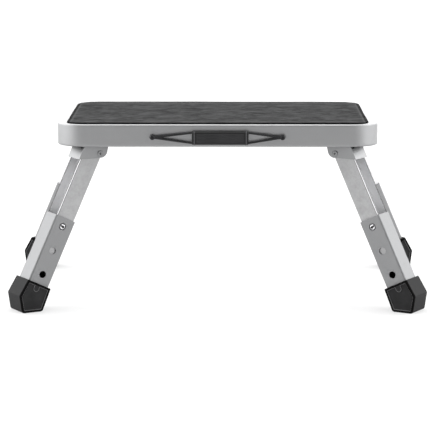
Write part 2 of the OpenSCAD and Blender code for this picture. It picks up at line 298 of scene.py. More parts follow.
def powder_coat(name, colour, metallic=0.95, rough=0.4):
    """Silver powder coat: fine flakes, orange peel, faint cloudiness and worn scuffs."""
    finish = Finish(name)
    finish.set(Metallic=metallic)
    clouds = finish.noise(9, detail=4)
    flakes = finish.cells(2600)
    scuffs = finish.noise(30, detail=6, roughness=0.7, vector=finish.stretched((1, 1, 6)))
    worn = finish.remap(scuffs, 0.62, 0.75, 0, 1)
    base = finish.blend(finish.remap(clouds, 0.3, 0.7, 0, 1),
                        tinted(colour, 0.95), tinted(colour, 1.05))
    base = finish.blend(finish.remap(flakes, 0.75, 1, 0, 0.35), base, tinted(colour, 1.35))
    base = finish.blend(finish.maths("MULTIPLY", worn, 0.10), base, tinted(colour, 0.8))
    coarse = finish.remap(clouds, 0.3, 0.7, rough - 0.03, rough + 0.03)
    peel = finish.bump(finish.noise(420, detail=2), 0.12, 0.0004)
    return finish.wire(Base_Color=base, Normal=peel,
                       Roughness=finish.maths("ADD", coarse, finish.maths("MULTIPLY", worn, 0.1)))


def zinc_sheet(name, colour, rough=0.36, grain=(60, 60, 4)):
    """Galvanised sheet: soft mottling, a drawn grain and small pits."""
    finish = Finish(name)
    finish.set(Metallic=0.9)
    mottle = finish.noise(38, detail=5, roughness=0.65)
    spangle = finish.cells(160)
    drawn = finish.noise(14, detail=3, vector=finish.stretched(grain))
    base = finish.blend(finish.remap(mottle, 0.35, 0.65, 0, 1),
                        tinted(colour, 0.86), tinted(colour, 1.1))
    base = finish.blend(finish.maths("MULTIPLY", spangle, 0.16), base, tinted(colour, 1.3))
    shine = finish.remap(mottle, 0.3, 0.7, rough - 0.06, rough + 0.08)
    pits = finish.bump(finish.noise(900, detail=2), 0.08, 0.0003)
    lines = finish.bump(drawn, 0.06, 0.0004, under=pits)
    return finish.wire(Base_Color=base, Roughness=shine, Normal=lines)


def channel_zinc(name, colour, space):
    """The channel's zinc: brushed and mottled on its drilled face, and lightened elsewhere with
    painted light. The face's outer edge has a painted highlight beside a line of painted shade,
    and the flange's edge a line of painted shade on its inner side."""
    finish = Finish(name)
    finish.set(Metallic=0.3)
    mottle = finish.noise(55, detail=5, roughness=0.7)
    specks = finish.cells(420)
    brushed = finish.noise(160, detail=4, vector=finish.stretched((1, 1, 0.12)))
    face = finish.blend(finish.remap(mottle, 0.35, 0.65, 0, 1),
                        tinted(colour, 0.76), tinted(colour, 0.98))
    face = finish.blend(finish.maths("MULTIPLY", specks, 0.2), face, tinted(colour, 1.35))
    face = finish.blend(finish.remap(brushed, 0.5, 0.7, 0, 0.25), face, tinted(colour, 0.75))
    depth = finish.along(space.y, space.pivot)
    from_out = finish.along(space.x, space.pivot)
    # Painted shade: a dark line on the drilled face, just inside the painted highlight at its outer
    # edge.
    line = finish.remap(from_out, -22.6 * MM, -22.2 * MM, 1, 0)
    face = finish.blend(line, face, tinted(colour, 0.05))
    # Painted highlight: a bright strip along the drilled face's outer edge, where the flange's edge
    # catches light.
    painted_highlight = finish.remap(from_out, -23.3 * MM, -23 * MM, 1, 0)
    face = finish.blend(painted_highlight, face, tinted(colour, 2.3))
    # Painted light: every face but the drilled one gets a much lighter zinc, standing in for the
    # light inside the channel and on its outward faces.
    inner = finish.blend(mottle, tinted(colour, 1.85), tinted(colour, 2.0))
    # Painted shade: a dark line along the flange's edge, on the side away from the drilled face.
    painted_edge_shade = finish.remap(from_out, -24.3 * MM, -24.0 * MM, 1, 0)
    inner = finish.blend(painted_edge_shade, inner, tinted(colour, 0.05))
    base = finish.blend(finish.remap(depth, -15.2 * MM, -15.0 * MM, 0, 1), face, inner)
    lines = finish.bump(brushed, 0.08, 0.0004)
    return finish.wire(Base_Color=base, Roughness=finish.remap(mottle, 0.3, 0.7, 0.34, 0.5),
                       Normal=lines)


def polished_chrome(name, colour):
    """Plated and polished, with hairline rubbing."""
    finish = Finish(name)
    finish.set(Metallic=1.0)
    hairs = finish.noise(700, detail=4, vector=finish.stretched((1, 1, 12)))
    base = finish.blend(hairs, tinted(colour, 0.94), tinted(colour, 1.0))
    return finish.wire(Base_Color=base, Roughness=finish.remap(hairs, 0.3, 0.7, 0.07, 0.16),
                       Normal=finish.bump(hairs, 0.04, 0.0002))


def moulded_rubber(name, colour, rough=0.5, pore=700, specular=0.45):
    """Black moulded rubber: pores, dusty patches and a slightly uneven sheen."""
    finish = Finish(name)
    finish.set(Specular_IOR_Level=specular)
    dust = finish.noise(45, detail=5, roughness=0.6)
    pores = finish.noise(pore, detail=3)
    base = finish.blend(finish.remap(dust, 0.4, 0.75, 0, 0.6), colour[:3], tinted(colour, 1.9))
    shine = finish.remap(dust, 0.3, 0.7, rough - 0.06, rough + 0.1)
    return finish.wire(Base_Color=base, Roughness=shine, Normal=finish.bump(pores, 0.18, 0.0003))


def embossed_rubber(name, colour):
    """The tread: wavy embossed lines with lighter, scuffed crests, a painted highlight on the bead
    along the edge and painted shade darkening the border."""
    finish = Finish(name)
    finish.set(Specular_IOR_Level=0.006)
    streaks = finish.noise(46, detail=5, roughness=0.66, distortion=0.6,
                           vector=finish.stretched((0.6, 0.9, 1)))
    fine = finish.noise(210, detail=3, distortion=0.3, vector=finish.stretched((0.3, 1.3, 1)))
    pores = finish.noise(900, detail=2)
    base = finish.blend(finish.remap(streaks, 0.36, 0.66, 0, 1),
                        tinted(colour, 0.62), tinted(colour, 1.4))
    base = finish.blend(finish.remap(fine, 0.45, 0.65, 0, 0.7), base, tinted(colour, 2.2))
    half_w, half_d = MAT_HIGH.x, MAT_HIGH.y
    from_ends = finish.maths("SUBTRACT", half_w, finish.reach("X", 0))
    from_sides = finish.maths("SUBTRACT", half_d, finish.reach("Y", 0))
    edge = finish.maths("MINIMUM", from_ends, finish.maths("MULTIPLY", from_sides, 0.6))
    # Painted highlight: the bead's band is lightened, as if its crest caught light.
    bead = finish.band(edge, BORDER + 0.5 * MM, BORDER + 2 * MM, 0.8 * MM)
    base = finish.blend(finish.maths("MULTIPLY", bead, 0.5), base, tinted(colour, 2.0))
    # Painted shade: the plain border is darkened nearly to black, more widely at the front and
    # back, standing in for the shadow of its rolled edge.
    base = finish.blend(finish.remap(edge, BORDER - 1 * MM, BORDER + 0.5 * MM, 1, 0), base,
                        tinted(colour, 0.08))
    shine = finish.remap(streaks, 0.3, 0.7, 0.68, 0.52)
    grain = finish.bump(fine, 0.35, 0.0006)
    return finish.wire(Base_Color=base, Roughness=shine,
                       Normal=finish.bump(pores, 0.12, 0.0002, under=grain))


def grip_rubber(name, colour):
    """The grip: a scuffed face with painted shade along its top and bottom, and near each end
    a painted shadow band crossed by a painted highlight line.
    """
    finish = Finish(name)
    finish.set(Specular_IOR_Level=0.3)
    dust = finish.noise(45, detail=5, roughness=0.6)
    pores = finish.noise(700, detail=3)
    face = finish.blend(finish.remap(dust, 0.35, 0.7, 0, 0.7), colour[:3], tinted(colour, 1.7))
    # Painted shade: the face darkens towards its top and bottom edges.
    base = finish.blend(finish.remap(finish.reach("Z", GRIP.z), 6.2 * MM, 7.6 * MM, 0, 1), face,
                        tinted(colour, 0.35))
    along = finish.reach("X", GRIP.x)
    end = GRIP_HIGH.x - GRIP.x
    shadow = finish.band(along, end - 6.5 * MM, end - 0.5 * MM, 0.6 * MM)
    base = finish.blend(finish.maths("MULTIPLY", shadow, 0.85), base, tinted(colour, 0.3))
    # Painted highlight: a light line across the painted shadow near each end, standing in for the
    # cuff's edge catching light.
    line = finish.band(along, end - 3.9 * MM, end - 3.1 * MM, 0.4 * MM)
    base = finish.blend(line, base, tinted(colour, 5))
    return finish.wire(Base_Color=base, Roughness=finish.remap(dust, 0.3, 0.7, 0.42, 0.56),
                       Normal=finish.bump(pores, 0.18, 0.0003))


# ---- pieces ------------------------------------------------------------------

def build_deck(settings):
    """The pressed deck: top sheet, rounded edge, skirt and the hem folded up inside it."""
    half_w, half_d = DECK_HIGH.x, DECK_HIGH.y
    top, bottom = DECK_HIGH.z, DECK_LOW.z
    corner, sheet = 42 * MM, 2 * MM
    edge, hem, hem_h = settings.edge_radius, 3.8 * MM, 7 * MM
    roll = hem / 2
    profile = [(40 * MM, top), (12 * MM, top), (edge + 2 * MM, top)]
    profile += [(edge - x, top - edge + z) for x, z in arc((0, 0), edge, 90, 0, 8)]
    profile += [(0, top - 2 * edge), (0, bottom + 2 * roll)]
    profile += [(roll - x, bottom + roll + z) for x, z in arc((0, 0), roll, 0, -180, 10)]
    profile += [(hem, bottom + hem_h - 0.6 * MM), (hem - 0.6 * MM, bottom + hem_h),
                (sheet + 0.2 * MM, bottom + hem_h), (sheet, bottom + hem_h + 0.5 * MM),
                (sheet, top - sheet - 2 * MM), (sheet + 0.6 * MM, top - sheet - 0.6 * MM),
                (sheet + 2 * MM, top - sheet), (40 * MM, top - sheet)]
    mesh = bmesh.new()
    loops = []
    for inset, z in profile:
        points = rounded_rectangle(half_w - inset, half_d - inset, corner - inset, steps=16)
        loops.append([(x, y, z) for x, y in points])
    add_loops(mesh, loops)
    coat = powder_coat("deck_powder_coat", settings.coat_colour, rough=settings.coat_roughness)
    deck = finish_piece(mesh, "deck_shell", coat, "deck", smooth_angle=50)
    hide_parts("deck_tray")


def tread_relief(x, y, settings):
    """Height of the embossing at a place on the tread, from 0 to 1: wavy lines along x."""
    drift = noise.noise(Vector((x / 0.060, y / 0.045, 3.1)))
    fork = noise.noise(Vector((x / 0.024, y / 0.018, 8.7)))
    phase = y / settings.grain_pitch + 1.1 * drift + 0.35 * fork
    line = 0.5 + 0.5 * math.cos(2 * math.pi * phase)
    swell = 0.5 + 0.5 * noise.noise(Vector((x / 0.035, y / 0.030, 1.3)))
    return line ** 1.5 * (0.55 + 0.45 * swell)


def build_tread(settings):
    """The rubber tread: an embossed sheet with a bead inside its plain border. Its edge is
    faintly wavy, most of all at the back, where its corners are rounder too."""
    half_w, half_d = MAT_HIGH.x, MAT_HIGH.y
    front_corner, back_corner = 24 * MM, 38 * MM
    base, top, relief = MAT_LOW.z, MAT_HIGH.z, settings.relief
    shoulder = 1.2 * MM
    columns, corner_rows, middle_rows = 220, 12, 150

    def across(row, inset):
        """Half the width and the y of a row of the sheet."""
        if row < corner_rows:
            radius = front_corner - inset
            turn = math.pi / 2 * (1 - row / corner_rows)
            return (half_w - front_corner + radius * math.cos(turn),
                    front_corner - half_d - radius * math.sin(turn))
        if row > corner_rows + middle_rows:
            radius = back_corner - inset
            turn = math.pi / 2 * ((row - middle_rows) / corner_rows - 1)
            return (half_w - back_corner + radius * math.cos(turn),
                    half_d - back_corner + radius * math.sin(turn))
        flat = 2 * half_d - front_corner - back_corner
        return half_w - inset, front_corner - half_d + flat * (row - corner_rows) / middle_rows

    def place(row, column, inset, z):
        half, y = across(row, inset)
        x = half * (2 * column / columns - 1)
        ripple = 0.6 * MM * noise.noise(Vector((x / 0.09, y / 0.09, 5)))
        back = max(0, y / half_d) ** 3
        wave = 4 * MM * back * (noise.noise(Vector((x / 0.075, 0, 2.2))) - 0.35)
        return Vector((x + ripple * x / half_w, y + ripple * y / half_d + wave, z))

    def height(point, edge):
        """Height of the embossing, of the bead and of the border."""
        bead = max(0, 1 - abs(edge - BORDER - 1.2 * MM) / (1 * MM))
        inside = min(1, max(0, (edge - BORDER - 2 * MM) / (2 * MM)))
        border = 0.35 if edge < BORDER else 0
        return relief * max(inside * tread_relief(point.x, point.y, settings), bead, border)

    last_row = 2 * corner_rows + middle_rows
    mesh = bmesh.new()
    grid = []
    for row in range(last_row + 1):
        line = []
        for column in range(columns + 1):
            point = place(row, column, shoulder, top - relief)
            half, y = across(row, shoulder)
            edge = min(half_w - abs(half * (2 * column / columns - 1)), half_d - abs(y))
            point.z += height(point, edge)
            line.append(mesh.verts.new(point))
        grid.append(line)
    for low, high in zip(grid, grid[1:]):
        for i in range(columns):
            mesh.faces.new((low[i], low[i + 1], high[i + 1], high[i]))
    rim = ([(0, c) for c in range(columns)] + [(r, columns) for r in range(last_row)]
           + [(last_row, c) for c in range(columns, 0, -1)]
           + [(r, 0) for r in range(last_row, 0, -1)])
    ring = [grid[r][c] for r, c in rim]
    drops = ((0.5 * MM, top - relief - 0.1 * MM), (0.1 * MM, top - relief - 0.6 * MM),
             (0.1 * MM, base))
    for inset, z in drops:
        below = [mesh.verts.new(place(r, c, inset, z)) for r, c in rim]
        for i in range(len(ring)):
            j = (i + 1) % len(ring)
            mesh.faces.new((ring[i], ring[j], below[j], below[i]))
        ring = below
    mesh.faces.new(ring)
    rubber = embossed_rubber("tread_rubber", settings.rubber_colour)
    tread = finish_piece(mesh, "tread", rubber, "deck", smooth_angle=60)
    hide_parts("tread_mat")


def dress_under_deck(settings):
    """Finishes of the stiffeners, rivets and nuts under the deck."""
    zinc = zinc_sheet("zinc_plate", settings.zinc_colour, grain=(4, 60, 60))
    dress(("stiffener_front", "stiffener_rear", "deck_rivets", "handle_nuts"), zinc)
    soften(("stiffener_front", "stiffener_rear", "handle_nuts"), 0.3 * MM)


def soften(nodes, width):
    """Breaks the sharp edges of CAD nodes with modifiers, which leave their meshes alone."""
    for name in nodes:
        node = frame["nodes"][name]
        weld = node.modifiers.new("weld", "WELD")
        weld.merge_threshold = 0.01 * MM
        bevel = node.modifiers.new("edges", "BEVEL")
        bevel.width = width
        bevel.segments = 2
        bevel.limit_method = "ANGLE"
        bevel.angle_limit = math.radians(50)
        bevel.use_clamp_overlap = True
        normals = node.modifiers.new("normals", "WEIGHTED_NORMAL")
        normals.keep_sharp = False


def each(part):
    """The CAD nodes of that part on all four legs."""
    return [f"{part}_{leg}" for leg in LEGS]


def build_brackets(settings):
    """Coated leg brackets, and the peened pivot rivets with a dimple in each head."""
    coat = powder_coat("bracket_powder_coat", settings.bracket_colour, rough=0.42)
    dress(each("bracket"), coat)
    soften(each("bracket"), 0.35 * MM)
    nylon = moulded_rubber("washer_nylon", settings.washer_colour, rough=0.45)
    dress(each("pivot_washers"), nylon)
    reach, head_r, head_t, shank, dimple = 19 * MM, 5 * MM, 0.8 * MM, 3.6 * MM, 1.3 * MM
    half_head = [(shank, reach - 0.02 * MM), (head_r - 0.2 * MM, reach),
                 (head_r, reach + 0.15 * MM), (head_r - 0.6 * MM, reach + 0.5 * MM),
                 (head_r - 1.7 * MM, reach + head_t),
                 (dimple + 0.4 * MM, reach + head_t), (dimple, reach + 0.5 * MM),
                 (dimple * 0.6, reach - 0.6 * MM), (0.05 * MM, reach - 0.8 * MM)]
    profile = [(r, -y) for r, y in reversed(half_head)] + half_head
    for leg in LEGS:
        space = LegSpace(leg)
        mesh = bmesh.new()
        lathe(mesh, profile, space.pin, space.y, space.x)
        pin = finish_piece(mesh, f"pivot_rivet_{leg}", coat, "deck")
        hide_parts(f"pivot_pin_{leg}")


def build_upper_legs(settings):
    """Zinc-plated channels and the leaf springs inside them."""
    for leg in LEGS:
        zinc = channel_zinc(f"channel_zinc_{leg}", settings.channel_colour, LegSpace(leg))
        dress((f"upper_leg_{leg}",), zinc)
    soften(each("upper_leg"), 0.3 * MM)
    dress(each("button_spring"), zinc_sheet("spring_steel", settings.spring_colour, rough=0.28))


def build_lower_legs(settings):
    """Coated square tubes."""
    coat = powder_coat("tube_powder_coat", settings.tube_colour, metallic=0.8, rough=0.6)
    dress(each("lower_leg"), coat)
    soften(each("lower_leg"), 0.25 * MM)


def build_buttons(settings):
    """Chromed snap buttons: a domed nose with painted shade in its hollow middle, and painted shade
    on the collar and on the nose's side down in the holes."""
    chrome = polished_chrome("button_chrome", settings.chrome_colour)
    hole_z = -124.5 * MM
    nose, crown, shoulder, collar_y = 4.1 * MM, 19.3 * MM, 17.6 * MM, 13.4 * MM
    rise = crown - shoulder
    dome = (nose ** 2 + rise ** 2) / (2 * rise)
    edge = math.asin(nose / dome)
    collar_r, collar_t, hollow = 6.6 * MM, 1.2 * MM, 2.3 * MM
    profile = [(0.05 * MM, collar_y - collar_t), (collar_r - 0.2 * MM, collar_y - collar_t),
               (collar_r, collar_y - 1 * MM), (collar_r, collar_y - 0.2 * MM),
               (collar_r - 0.2 * MM, collar_y), (nose, collar_y),
               (nose, shoulder - 0.3 * MM), (nose - 0.1 * MM, shoulder)]
    for i in range(1, 8):
        turn = edge * (1 - i / 12)
        profile.append((dome * math.sin(turn) * 0.98, crown - dome * (1 - math.cos(turn))))
    profile += [(hollow, crown - 0.45 * MM), (hollow - 0.15 * MM, crown - 0.6 * MM),
                (hollow - 0.5 * MM, crown - 0.9 * MM), (0.03 * MM, crown - 1.1 * MM)]
    # Painted shade: a near-black finish on the collar, the nose's side down in the holes and the
    # hollow middle.
    plated, dark = 0, 1
    shades = [dark] * 6 + [plated] * (len(profile) - 11) + [dark] * 4
    shadow = moulded_rubber("button_painted_shade", tinted(settings.chrome_colour, 0.02), rough=0.6)
    for leg in LEGS:
        space = LegSpace(leg)
        mesh = bmesh.new()
        lathe(mesh, profile, space(AXIS_X, 0, hole_z), -space.y, space.x, steps=48, shades=shades)
        button = finish_piece(mesh, f"button_{leg}", chrome, f"button_{leg}",
                              more_materials=(shadow,))
        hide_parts(f"snap_button_{leg}")


def inset_corners(corners, inset):
    """The corners of a convex outline, anticlockwise or not, moved in from every side."""
    middle = sum((Vector(c) for c in corners), Vector((0, 0))) / len(corners)
    lines = []
    for i, corner in enumerate(corners):
        a, b = Vector(corner), Vector(corners[(i + 1) % len(corners)])
        run = (b - a).normalized()
        inward = Vector((-run.y, run.x))
        if inward.dot(middle - a) < 0:
            inward = -inward
        lines.append((a + inward * inset, run))
    moved = []
    for i in range(len(lines)):
        (p, u), (q, v) = lines[i - 1], lines[i]
        along = (q - p).cross(v) / u.cross(v)
        moved.append(p + u * along)
    return moved


def round_corners(corners, radii, steps=6):
    """An outline's points with each corner replaced by an arc."""
    points = []
    for i, corner in enumerate(corners):
        before = (corners[i - 1] - corner).normalized()
        after = (corners[(i + 1) % len(corners)] - corner).normalized()
        half = before.angle(after) / 2
        centre = corner + (before + after).normalized() * radii[i] / math.sin(half)
        start = corner + before * radii[i] / math.tan(half) - centre
        end = corner + after * radii[i] / math.tan(half) - centre
        turn = start.angle_signed(end)
        for k in range(steps + 1):
            share = k / steps * -turn
            cos, sin = math.cos(share), math.sin(share)
            points.append(centre + Vector((start.x * cos - start.y * sin,
                                           start.x * sin + start.y * cos)))
    return points


def cut_socket(boot, space, top):
    """Hollows a boot out round its tube, from its top down to the tube's end."""
    half, floor = TUBE_HALF + 0.05 * MM, TUBE_END - 0.1 * MM
    mesh = bmesh.new()
    corners = [(AXIS_X - half, -half), (AXIS_X + half, -half), (AXIS_X + half, half),
               (AXIS_X - half, half)]
    add_loops(mesh, [[space(x, y, z) for x, y in corners] for z in (floor, top + 2 * MM)])
    bmesh.ops.recalc_face_normals(mesh, faces=mesh.faces)
    data = bpy.data.meshes.new("socket")
    mesh.to_mesh(data)
    mesh.free()
    cutter = bpy.data.objects.new("socket", data)
    bpy.context.scene.collection.objects.link(cutter)
    cut = boot.modifiers.new("Socket", "BOOLEAN")
    cut.operation = "DIFFERENCE"
    cut.solver = "EXACT"
    cut.object = cutter
    apply_modifiers(boot)
    bpy.data.objects.remove(cutter)


def build_boot(leg, finishes):
    """One foot: a five-sided moulded boot with a raised rim round each side panel, a tongue
    under the rim's top, a grooved sole, and a socket for the tube."""
    space = LegSpace(leg)
    half, rim, deep, edge = 21.5 * MM, 3.6 * MM, 1.2 * MM, 0.9 * MM
    top, shoulder = -216.5 * MM, 20 * MM
    toe_out, heel, toe_in, toe_height = -32.1 * MM, -16.8 * MM, 12.6 * MM, 26.5 * MM
    radii = [1.4 * MM, 4.5 * MM, 4 * MM, 5 * MM, 1.4 * MM]
    plain, painted_highlight, painted_shade = 0, 1, 2

    def outline(inset, y, lift=0):
        """The boot's outline at one y, moved in by the inset and kept above the lift."""
        corners = [(AXIS_X - shoulder, top), (toe_out, space.up_to(toe_out, toe_height)),
                   (heel, space.up_to(heel, 0)), (toe_in, space.up_to(toe_in, 0)),
                   (AXIS_X + shoulder, top)]
        bends = [max(0.25 * MM, r - inset) for r in radii]
        points = [space(p.x, y, p.y) for p in round_corners(inset_corners(corners, inset), bends)]
        for point in points:
            point.z = max(point.z, lift)
        return points

    side = [(0, half - edge - 1.4 * MM), (0, half - edge)]
    side += [(edge - x, half - edge + y) for x, y in arc((0, 0), edge, 0, 90, 5)[1:]]
    side += [(rim - 1.7 * MM, half), (rim - 0.2 * MM, half), (rim, half - 0.2 * MM),
             (rim + 0.2 * MM, half - deep + 0.2 * MM), (rim + 0.5 * MM, half - deep),
             (rim + 1.4 * MM, half - deep)]
    # Painted shade on the outer edge and the rim's flat top; a painted highlight on the rim's inner
    # bevel, its wall and the wall's foot.
    shades = [painted_shade] * 8 + [painted_highlight] * 3 + [plain]
    loops = [outline(inset, -y) for inset, y in reversed(side)]
    bands = list(reversed(shades))
    groove, spacing, lift, grooves = 1.2 * MM, 6 * MM, 1.3 * MM, 5
    for k in range(grooves):
        y = (k - grooves // 2) * spacing
        loops += [outline(0, y - groove), outline(0, y - groove + 0.3 * MM, lift),
                  outline(0, y + groove - 0.3 * MM, lift), outline(0, y + groove)]
    bands += [plain] * (4 * grooves + 1)
    loops += [outline(inset, y) for inset, y in side]
    bands += shades
    mesh = bmesh.new()
    add_loops(mesh, loops, bands)
    tongue_r, tongue_x, tongue_z = 4.6 * MM, AXIS_X - 2.5 * MM, top - 8 * MM
    steps = ((0, half - deep - 0.3 * MM), (0, half - 0.4 * MM), (0.25 * MM, half - 0.15 * MM),
             (0.7 * MM, half - 0.1 * MM))
    for s in SIDES:
        tongue = []
        for shrink, y in steps:
            r = tongue_r - shrink
            points = arc((tongue_x, tongue_z), r, 180, 360, 16)
            points += [(tongue_x + r, top - rim + 0.3 * MM), (tongue_x - r, top - rim + 0.3 * MM)]
            tongue.append([space(x, s * y, z) for x, z in points])
        # Painted highlight on the tongue's rounded edge.
        add_loops(mesh, tongue, [plain, painted_highlight, painted_highlight])
    boot = finish_piece(mesh, f"boot_{leg}", finishes[0], f"lower_{leg}",
                        smooth_angle=38, more_materials=finishes[1:])
    cut_socket(boot, space, top)
    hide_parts(f"foot_{leg}")


def build_feet(settings):
    """The four rubber feet, with painted shade on the rims and a painted highlight round each side
    panel.
    """
    colour = settings.rubber_colour
    # The second finish is the rubber lightened as a painted highlight, the third the rubber
    # darkened as painted shade.
    finishes = [moulded_rubber("foot_rubber", colour, rough=0.55, pore=500, specular=0.05),
                moulded_rubber("foot_rubber_painted_highlight", tinted(colour, 4.5), rough=0.4, pore=500),
                moulded_rubber("foot_rubber_painted_shade", tinted(colour, 0.15), rough=0.6, pore=500,
                               specular=0.03)]
    for leg in LEGS:
        build_boot(leg, finishes)


def tube_along(mesh, path, radii, steps=14):
    """A round tube through points, with its own radius at each."""
    loops = []
    for i, point in enumerate(path):
        ahead = path[min(i + 1, len(path) - 1)]
        behind = path[max(i - 1, 0)]
        run = (ahead - behind).normalized()
        across = run.cross(Vector((0, 1, 0))).normalized()
        depth = across.cross(run)
        loops.append([point + (across * math.cos(t) + depth * math.sin(t)) * radii[i]
                      for t in (2 * math.pi * k / steps for k in range(steps))])
    add_loops(mesh, loops)


def build_strap(settings):
    """The strap: at each end an eye, and two tapering strands that run to the grip."""
    rubber = moulded_rubber("strap_rubber", settings.strap_colour, rough=0.5, specular=0.3)
    grip_half = GRIP_HIGH.x - GRIP.x
    strand_up, strand_r = 7.6 * MM, settings.strand / 2
    eye_r, thick = 4.1 * MM, 1.55 * MM
    profile = [(0.05 * MM, -thick), (eye_r - 0.7 * MM, -thick),
               (eye_r - 0.1 * MM, -thick * 0.6), (eye_r, 0), (eye_r - 0.1 * MM, thick * 0.6),
               (eye_r - 0.7 * MM, thick), (0.05 * MM, thick)]
    for s, side in zip(SIDES, ("left", "right")):
        eye = Vector((s * EYE_X, GRIP.y, POSTS.z))
        bend = GRIP + Vector((s * (grip_half + 0.6 * MM), 0, 0))
        mesh = bmesh.new()
        for up in SIDES:
            corner = bend + Vector((0, 0, up * strand_up))
            path = [eye.lerp(corner, i / 20) for i in range(21)]
            path += [corner - Vector((s * i * MM, 0, 0)) for i in range(1, 7)]
            radii = [strand_r * (1.2 - 0.3 * i / 20) for i in range(21)] + [strand_r * 0.9] * 6
            tube_along(mesh, path, radii)
        lathe(mesh, profile, eye, Vector((0, 1, 0)), Vector((1, 0, 0)), steps=32)
        strap = finish_piece(mesh, f"strap_{side}", rubber, None)
        merge = strap.modifiers.new("mould", "REMESH")
        merge.mode = "VOXEL"
        merge.voxel_size = 0.45 * MM
        ease = strap.modifiers.new("ease", "SMOOTH")
        ease.factor = 0.5
        ease.iterations = 4
        apply_modifiers(strap)
        strap.data.shade_smooth()
        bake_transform(strap)
        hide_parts("handle_strap")


def build_grip(settings):
    """The grip: a flat sleeve with fine ribs along its face and a raised cuff near each end."""
    rubber = grip_rubber("grip_rubber", settings.grip_colour)
    half, half_z, half_y = GRIP_HIGH.x - GRIP.x, 10 * MM, 4.5 * MM
    ribs, rib_deep = 6, 0.35 * MM
    cuff_x, cuff_half, cuff_up = half - 4 * MM, 1 * MM, 0.5 * MM
    bends = [3.6 * MM, 2.8 * MM, 2.8 * MM, 3.6 * MM]

    def section(x, grow, ribbed):
        corners = [Vector((-half_y - grow, -half_z - grow)), Vector((half_y, -half_z - grow)),
                   Vector((half_y, half_z + grow)), Vector((-half_y - grow, half_z + grow))]
        shape = round_corners(corners, bends, steps=8)
        points = [GRIP + Vector((x, y, z)) for y, z in shape]
        for i in range(1, 48):
            y, z = shape[-1] + (shape[0] - shape[-1]) * i / 48
            turn = 2 * math.pi * ribs * z / (2 * (half_z - bends[0]))
            dip = rib_deep * ribbed * (0.5 - 0.5 * math.cos(turn))
            points.append(GRIP + Vector((x, y + dip, z)))
        return points

    ends = [(half, -0.9 * MM, 0), (half - 0.25 * MM, -0.35 * MM, 0), (half - 0.9 * MM, 0, 0),
            (cuff_x + cuff_half + 0.4 * MM, 0, 0), (cuff_x + cuff_half, cuff_up, 0),
            (cuff_x - cuff_half, cuff_up, 0), (cuff_x - cuff_half - 0.4 * MM, 0, 0),
            (cuff_x - cuff_half - 1.4 * MM, 0, 0), (cuff_x - cuff_half - 2.4 * MM, 0, 1)]
    ends += [(x * MM, 0, 1) for x in (24, 16, 8)]
    stations = [(-x, grow, ribbed) for x, grow, ribbed in ends] + [(0, 0, 1)]
    stations += [(x, grow, ribbed) for x, grow, ribbed in reversed(ends)]
    mesh = bmesh.new()
    add_loops(mesh, [section(*station) for station in stations])
    grip = finish_piece(mesh, "grip", rubber, "handle", smooth_angle=50)
    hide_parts("handle_grip")


def build_screws(settings):
    """Black button-head screws with hexagon sockets, which hold the strap's eyes."""
    steel = moulded_rubber("screw_black_oxide", settings.screw_colour, rough=0.4, specular=0.3)
    front, back = POSTS_LOW.y, POSTS_HIGH.y
    head, shank, collar, socket = 3.5 * MM, 2.2 * MM, 3.4 * MM, 1.4 * MM
    skirt_y, eye_half = DECK_LOW.y, 1.65 * MM
    before_eye, behind_eye = GRIP.y - eye_half, GRIP.y + eye_half
    profile = [(0.05 * MM, back), (shank - 0.4 * MM, back), (shank, back - 0.4 * MM),
               (shank, skirt_y + 0.01 * MM), (collar, skirt_y), (collar, behind_eye),
               (shank, behind_eye), (shank, before_eye), (head, before_eye),
               (head, before_eye - 0.8 * MM), (head - 0.5 * MM, front + 0.5 * MM),
               (head - 1.4 * MM, front + 0.05 * MM), (socket + 0.3 * MM, front)]
    steps = 36

    def ring(x, radius, y, hexagon=False):
        """A round or six-sided ring of the screw at one y."""
        points = []
        for i in range(steps):
            turn = 2 * math.pi * i / steps
            reach = radius
            if hexagon:
                from_flat = turn % (math.pi / 3) - math.pi / 6
                reach = radius * math.cos(math.pi / 6) / math.cos(from_flat)
            points.append(Vector((x + reach * math.cos(turn), y, POSTS.z + reach * math.sin(turn))))
        return points

    for s, side in zip(SIDES, ("left", "right")):
        x = s * EYE_X
        mesh = bmesh.new()
        loops = [ring(x, radius, y) for radius, y in profile]
        loops += [ring(x, socket, front + 0.1 * MM, True), ring(x, socket, front + 1.1 * MM, True),
                  ring(x, 0.05 * MM, front + 1.4 * MM)]
        add_loops(mesh, loops)
        screw = finish_piece(mesh, f"screw_{side}", steel, "deck")
        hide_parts("handle_posts")


# ---- stage -------------------------------------------------------------------

def build_floor(colour, glow):
    """A wide plain floor that isn't part of the object, lit a little from within."""
    mesh = bmesh.new()
    bmesh.ops.create_circle(mesh, cap_ends=True, radius=40, segments=64)
    data = bpy.data.meshes.new("floor")
    mesh.to_mesh(data)
    mesh.free()
    floor = bpy.data.objects.new("floor", data)
    bpy.context.scene.collection.objects.link(floor)
    finish = Finish("floor_white")
    finish.set(Roughness=0.9, Specular_IOR_Level=0.1, Emission_Color=(1, 1, 1, 1),
               Emission_Strength=glow)
    base = finish.blend(finish.noise(0.6, detail=2), tinted(colour, 0.995), colour)
    data.materials.append(finish.wire(Base_Color=base))


